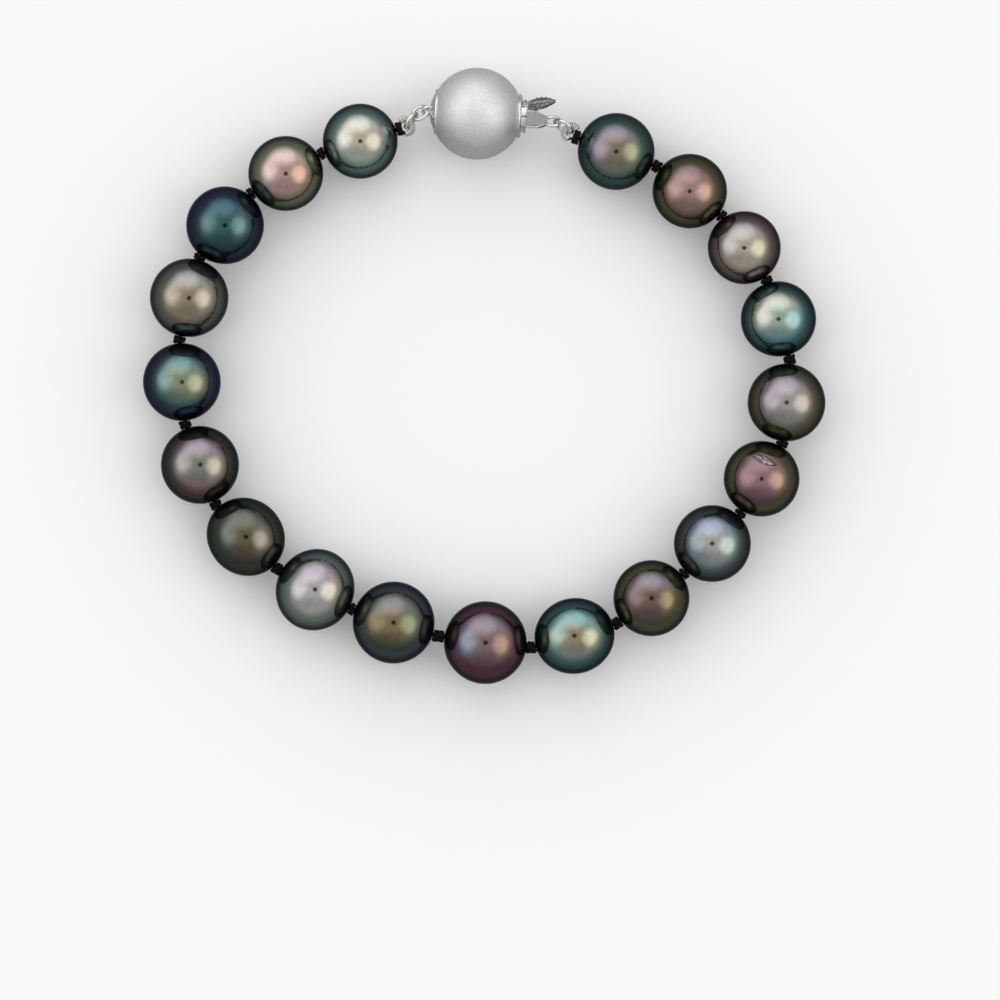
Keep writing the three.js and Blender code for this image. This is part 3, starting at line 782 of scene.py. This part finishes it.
collar_profile = [
    (SEAT_X - SEAT_DEPTH, 0),
    (SEAT_X - SEAT_DEPTH, CAP_R - 0.10),
    (SEAT_X + 0.10, CAP_R - 0.04),
    (SEAT_X + 0.34, CAP_R - 0.04),
    (SEAT_X + 0.40, CAP_R - 0.10),
    (SEAT_X + 0.46, COLLAR_NECK_R),
    (COLLAR_FACE_X - 0.30, COLLAR_NECK_R),
    (COLLAR_FACE_X - 0.24, COLLAR_FACE_R),
    (COLLAR_FACE_X - 0.05, COLLAR_FACE_R),
    (COLLAR_FACE_X, COLLAR_FACE_R - 0.06),
    (COLLAR_FACE_X, COLLAR_FACE_R - 0.25),
    (COLLAR_FACE_X - 0.06, COLLAR_FACE_R - 0.30),
    (COLLAR_FACE_X - 0.06, 0),
]
# The mouth's three slots, by two corners each: the tongue's, the blade's and the stalk's.
MOUTH = (
    ((3.6, -1.5, -0.75), (5.9, 1.5, -0.15)),
    ((3.6, -1.15, -0.75), (5.9, 1.15, 1.03)),
    ((3.6, -0.55, -0.75), (5.9, 0.55, 2.05)),
)


def box_shape(low, high):
    """A box between two corners."""
    shape = bmesh.new()
    bmesh.ops.create_cube(shape, size=1.0)
    size = Vector(high) - Vector(low)
    bmesh.ops.scale(shape, vec=size, verts=shape.verts)
    bmesh.ops.translate(shape, vec=Vector(low) + size / 2, verts=shape.verts)
    return shape


collar = clasp_piece("slotted_collar", turned_shape(collar_profile), polished)
for low, high in MOUTH:
    punch = clasp_piece("punch", box_shape(low, high), polished)
    cut = collar.modifiers.new("mouth", "BOOLEAN")
    cut.object = punch
    cut.operation = "DIFFERENCE"
    cut.solver = "EXACT"
    bpy.context.view_layer.update()
    ready = collar.evaluated_get(bpy.context.evaluated_depsgraph_get())
    opened = bpy.data.meshes.new_from_object(ready)
    collar.modifiers.clear()
    collar.data = opened
    bpy.data.objects.remove(punch)
collar.data.set_sharp_from_angle(angle=math.radians(SHARP_ANGLE))
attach(collar, "bracelet")
collar_bead = clasp_piece("collar_bead", bead(SEAT_X + 0.20, CAP_R - 0.06), polished)
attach(collar_bead, "bracelet")

# Tongue. The lower leaf of one folded strip of polished white metal: its fold is inside the
# ball, its flat plate comes out of the collar, narrows and ends in a rounded wire eye.
STRIP_T = 0.3
TONGUE_HALF_W = 1.35
TONGUE_Z = -0.45
TONGUE_SOFT_EDGE = 0.05
FOLD_R = 0.325
FOLD_STEPS = 16
TONGUE_EYE_X = 8.3
TONGUE_EYE_D = 2.0
TONGUE_EYE_WIRE = 0.375


def extruded(shape, geom, way):
    """Extrudes faces or edges and moves the new ones. Gives back the new points."""
    if isinstance(geom[0], bmesh.types.BMFace):
        made = bmesh.ops.extrude_face_region(shape, geom=geom)["geom"]
    else:
        made = bmesh.ops.extrude_edge_only(shape, edges=geom)["geom"]
    points = [v for v in made if isinstance(v, bmesh.types.BMVert)]
    bmesh.ops.translate(shape, vec=way, verts=points)
    return points


plate_side = [
    (FOLD_X - 0.02, TONGUE_HALF_W),
    (6.55, TONGUE_HALF_W),
    (6.80, 1.28),
    (7.30, 1.00),
    (7.62, 0.72),
]
tongue = bmesh.new()
outline = plate_side + [(x, -y) for x, y in reversed(plate_side)]
plate = tongue.faces.new([tongue.verts.new((x, y, TONGUE_Z - STRIP_T / 2)) for x, y in outline])
extruded(tongue, [plate], (0, 0, STRIP_T))
bmesh.ops.recalc_face_normals(tongue, faces=tongue.faces)
fold = bmesh.new()
bmesh.ops.create_grid(fold, x_segments=1, y_segments=1, size=0.5)
bmesh.ops.scale(fold, vec=(STRIP_T, 2 * TONGUE_HALF_W, 1), verts=fold.verts)
turn_over(fold, "Y")
bmesh.ops.translate(fold, vec=(FOLD_X, 0, TONGUE_Z), verts=fold.verts)
bmesh.ops.spin(
    fold,
    geom=fold.verts[:] + fold.edges[:] + fold.faces[:],
    cent=(FOLD_X, 0, TONGUE_Z + FOLD_R),
    axis=(0, 1, 0),
    angle=math.pi,
    steps=FOLD_STEPS,
)
bmesh.ops.recalc_face_normals(fold, faces=fold.faces)
tongue_eye = round_ring(TONGUE_EYE_D, TONGUE_EYE_WIRE)
bmesh.ops.translate(tongue_eye, vec=(TONGUE_EYE_X, 0, TONGUE_Z), verts=tongue_eye.verts)
tongue_strip = clasp_piece("tongue_strip", joined_shapes(tongue, fold, tongue_eye), polished)
softened(tongue_strip, TONGUE_SOFT_EDGE)
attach(tongue_strip, "bracelet")
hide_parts("clasp_tongue")

# Thumb press. The strip's upper leaf: a springy blade with shoulders that catch behind the
# collar, a narrow stalk through the notch, and a small cast leaf with veins and a toothed edge.
BLADE_START = (-2.85, 0.2)
BLADE_END = (3.876, 1.45)
BLADE_HALF_W = 1.0
BLADE_SOFT_EDGE = 0.04
STALK_END = (5.55, 1.60)
STALK_HALF_W = 0.4
FOOT_START_X = 5.48
FOOT_END_X = 6.45
FOOT_HALF_W = 0.95
FOOT_Z = 1.33
ROLL_R = 0.2
ROLL_STEPS = 24
LEAF_CELLS = (96, 48)
LEAF_L = 3.1
LEAF_HALF_W = 0.95
LEAF_STEM = 0.10
LEAF_LAP = 0.1
LEAF_TILT = math.radians(14)
LEAF_T = 0.22
LEAF_CUP = 0.16
LEAF_SHARP_ANGLE = 50
VEINS = 6
VEIN_SWEEP = 0.16
TOOTH_DEPTH = 0.10
TOOTH_ROOT = 0.93
# The leaf's ridges, each by its height and its half width on a leaf of half width 1.
MIDRIB = (0.10, 0.10)
VEIN = (0.07, 0.35)
LEAF_RIM = (0.05, 0.12)


def bent_bar(line, half_width, thick):
    """A flat bar along a line of x, z points."""
    shape = bmesh.new()
    points = [shape.verts.new((x, -half_width, z - thick / 2)) for x, z in line]
    edges = [shape.edges.new(pair) for pair in zip(points, points[1:])]
    extruded(shape, edges, (0, 0, thick))
    extruded(shape, shape.faces[:], (0, 2 * half_width, 0))
    bmesh.ops.recalc_face_normals(shape, faces=shape.faces)
    return shape


def leaf_half_width(u):
    """Half width of the leaf along its length, with a tooth between each two veins."""
    belly = math.sin(math.pi * min(u, 1.0) ** 0.8) ** 0.75
    tooth = TOOTH_DEPTH * abs(math.sin(math.pi * (u * VEINS + 0.5)))
    return LEAF_HALF_W * max(belly * (TOOTH_ROOT + tooth), LEAF_STEM)


def ridge(profile, away):
    """A rounded ridge's height at a distance from its crest."""
    height, width = profile
    return height * math.exp(-((away / width) ** 2))


leaf = bmesh.new()
bmesh.ops.create_grid(leaf, x_segments=LEAF_CELLS[0], y_segments=LEAF_CELLS[1], size=0.5)
top = set(extruded(leaf, leaf.faces[:], (0, 0, 0)))
for v in leaf.verts:
    u = v.co.x + 0.5
    across = 2 * v.co.y
    side_vein = math.sin(math.pi * (u - VEIN_SWEEP * abs(across)) * VEINS)
    relief = ridge(MIDRIB, across) + ridge(VEIN, side_vein) + ridge(LEAF_RIM, 1 - abs(across))
    cup = LEAF_CUP * (1 - across**2) * math.sin(math.pi * u)
    z = cup + (relief if v in top else -LEAF_T)
    v.co = Vector((u * LEAF_L, across * leaf_half_width(u), z))
bmesh.ops.recalc_face_normals(leaf, faces=leaf.faces)
turn_over(leaf, "Y", -LEAF_TILT)
bmesh.ops.translate(leaf, vec=(STALK_END[0] - LEAF_LAP, 0, STALK_END[1]), verts=leaf.verts)
cast_metal = metal_material("cast white metal", (0.5, 0.5, 0.5), 0.22, 0.3)
tree = cast_metal.node_tree
where = shader_node(tree, "TexCoord").outputs["Object"]
grains = shader_node(tree, "TexVoronoi", {"Vector": where, "Scale": 7000.0})
darkened = ramp_node(tree, grains.outputs["Distance"], 0.1, 0.6)
oxidised = mixed_colour(tree, darkened, (0.60, 0.60, 0.59, 1), (0.17, 0.17, 0.17, 1))
tree.links.new(oxidised, tree.nodes["Principled BSDF"].inputs["Base Color"])
leaf_press = clasp_piece("leaf_press", leaf, cast_metal, LEAF_SHARP_ANGLE)
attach(leaf_press, "press")
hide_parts("thumb_press")

foot = box_shape(
    (FOOT_START_X, -FOOT_HALF_W, FOOT_Z - STRIP_T / 2),
    (FOOT_END_X, FOOT_HALF_W, FOOT_Z + STRIP_T / 2),
)
roll = bmesh.new()
bmesh.ops.create_cone(
    roll,
    cap_ends=True,
    segments=ROLL_STEPS,
    radius1=ROLL_R,
    radius2=ROLL_R,
    depth=2 * FOOT_HALF_W,
)
turn_over(roll, "X")
bmesh.ops.translate(roll, vec=(FOOT_END_X, 0, FOOT_Z + STRIP_T / 2 - ROLL_R), verts=roll.verts)
blade = clasp_piece(
    "spring_blade",
    joined_shapes(
        bent_bar([BLADE_START, BLADE_END], BLADE_HALF_W, STRIP_T),
        bent_bar([BLADE_END, STALK_END], STALK_HALF_W, STRIP_T),
        foot,
        roll,
    ),
    polished,
)
softened(blade, BLADE_SOFT_EDGE)
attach(blade, "press")

# Studio. A plain pale floor under a soft tent of light: a bright dome that fades towards the
# horizon, with three soft lamps right, left and above the picture, and the dark round front
# of the camera's lens straight overhead.
FLOOR_HALF = 2.0
CAMERA_AIM = Vector((1.73, -13.54, 4.5)) * MM
CAMERA_DISTANCE = 0.6
VIEW_WIDTH = 109.2 * MM
LENS_FRONT_R = 0.072
LENS_FRONT_RISE = 0.01
LENS_FRONT_STEPS = 64
DOME_HEIGHTS = (-0.05, 0.55)
DOME_LIGHT = 0.66
HORIZON_LIGHT = 0.46
SHADE_REACH = (0.1, -0.75)
SHADE_LEAST = 0.42
# Each lamp's direction, the half angle of its glow in degrees and its strength.
LAMPS = (
    ((0.68, -0.08, 0.73), 32, 1.15),
    ((-0.74, 0.08, 0.66), 34, 0.8),
    ((-0.15, 0.80, 0.58), 44, 0.8),
)

floor_shape = bmesh.new()
bmesh.ops.create_grid(floor_shape, x_segments=1, y_segments=1, size=FLOOR_HALF)
floor_material, tree, surface = new_material(
    "pale floor", {"Roughness": 0.9, "Specular IOR Level": 0.1}
)
# The floor is pale to the camera but grey where it is reflected: a painted dim reflection.
seen = shader_node(tree, "LightPath").outputs["Is Glossy Ray"]
pale_floor_painted_dim_in_reflections = mixed_colour(tree, seen, (0.93, 0.93, 0.93, 1), (0.40, 0.40, 0.40, 1))
tree.links.new(pale_floor_painted_dim_in_reflections, surface.inputs["Base Color"])
floor = made_piece("floor", floor_shape, floor_material)

lens_shape = bmesh.new()
bmesh.ops.create_circle(
    lens_shape, cap_ends=True, segments=LENS_FRONT_STEPS, radius=LENS_FRONT_R
)
lens_place = CAMERA_AIM + UP * (CAMERA_DISTANCE + LENS_FRONT_RISE)
bmesh.ops.translate(lens_shape, vec=lens_place, verts=lens_shape.verts)
lens_material, *_ = new_material("lens front", {"Base Color": (0.02, 0.02, 0.02, 1)})
lens_front = made_piece("lens_front", lens_shape, lens_material)

scene = bpy.context.scene
scene.view_settings.view_transform = "Standard"
world = bpy.data.worlds.new("light tent")
scene.world = world
world.use_nodes = True
tree = world.node_tree
tree.nodes.clear()
way = shader_node(tree, "TexCoord").outputs["Generated"]
spot = shader_node(tree, "SeparateXYZ", {0: way}).outputs
dome = ramp_node(tree, spot["Z"], *DOME_HEIGHTS, 0.0, DOME_LIGHT)
shade = ramp_node(tree, spot["Y"], *SHADE_REACH, 1.0, SHADE_LEAST)
light = shader_node(
    tree, "Math", {0: dome, 1: shade, 2: HORIZON_LIGHT}, operation="MULTIPLY_ADD"
).outputs[0]
for lamp, wide, strength in LAMPS:
    aim = shader_node(
        tree, "VectorMath", {0: way, 1: Vector(lamp).normalized()}, operation="DOT_PRODUCT"
    ).outputs["Value"]
    glow = ramp_node(tree, aim, math.cos(math.radians(wide)), 1.0, 0.0, strength)
    light = shader_node(tree, "Math", {0: light, 1: glow}, operation="ADD").outputs[0]
tent = shader_node(tree, "Background", {"Strength": light}).outputs[0]
backdrop = shader_node(tree, "Background", {"Color": (0.9, 0.9, 0.9, 1)}).outputs[0]
seen = shader_node(tree, "LightPath").outputs["Is Camera Ray"]
choice = shader_node(tree, "MixShader", {0: seen, 1: tent, 2: backdrop})
tree.links.new(choice.outputs[0], tree.nodes.new("ShaderNodeOutputWorld").inputs["Surface"])

# Camera. It looks straight down with a long lens, the clasp at the top of the picture, and the
# frame is placed as in the photograph, with the bracelet in its upper part.
SENSOR_WIDTH = 36
NEAR_CLIP = 0.01

camera_data = bpy.data.cameras.new("camera")
camera_data.sensor_width = SENSOR_WIDTH
camera_data.lens = SENSOR_WIDTH * CAMERA_DISTANCE / VIEW_WIDTH
camera_data.clip_start = NEAR_CLIP
camera = bpy.data.objects.new("camera", camera_data)
camera.location = CAMERA_AIM + UP * CAMERA_DISTANCE
scene.collection.objects.link(camera)
scene.camera = camera
